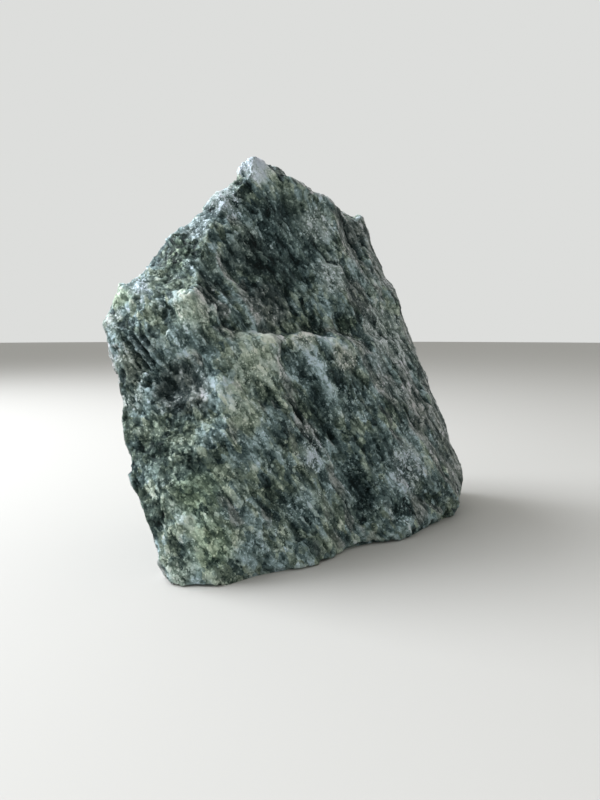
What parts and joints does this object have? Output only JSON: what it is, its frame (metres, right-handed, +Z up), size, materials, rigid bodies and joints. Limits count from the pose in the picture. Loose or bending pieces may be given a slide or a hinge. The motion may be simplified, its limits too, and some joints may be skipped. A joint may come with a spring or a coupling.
{
  "type": "raw soapstone block",
  "caption": "Raw, angular piece of dark green soapstone with broken, foliated faces, a pointed top and a flat sole that it stands on.",
  "frame": {"origin": "middle of the stone's box in plan, at the height of the flat sole that it stands on", "axes": "+Z up, the broken front with the ledge looks along -Y, +X to its right as seen from the front"},
  "size_m": [0.178, 0.1588, 0.1765],
  "materials": {
    "stone": "raw broken soapstone, mottled dark green and slate grey with olive patches and pale, glinting flecks, satin to matt"
  },
  "bodies": {
    "root": {"soapstone": "stone"}
  },
  "joints": []
}
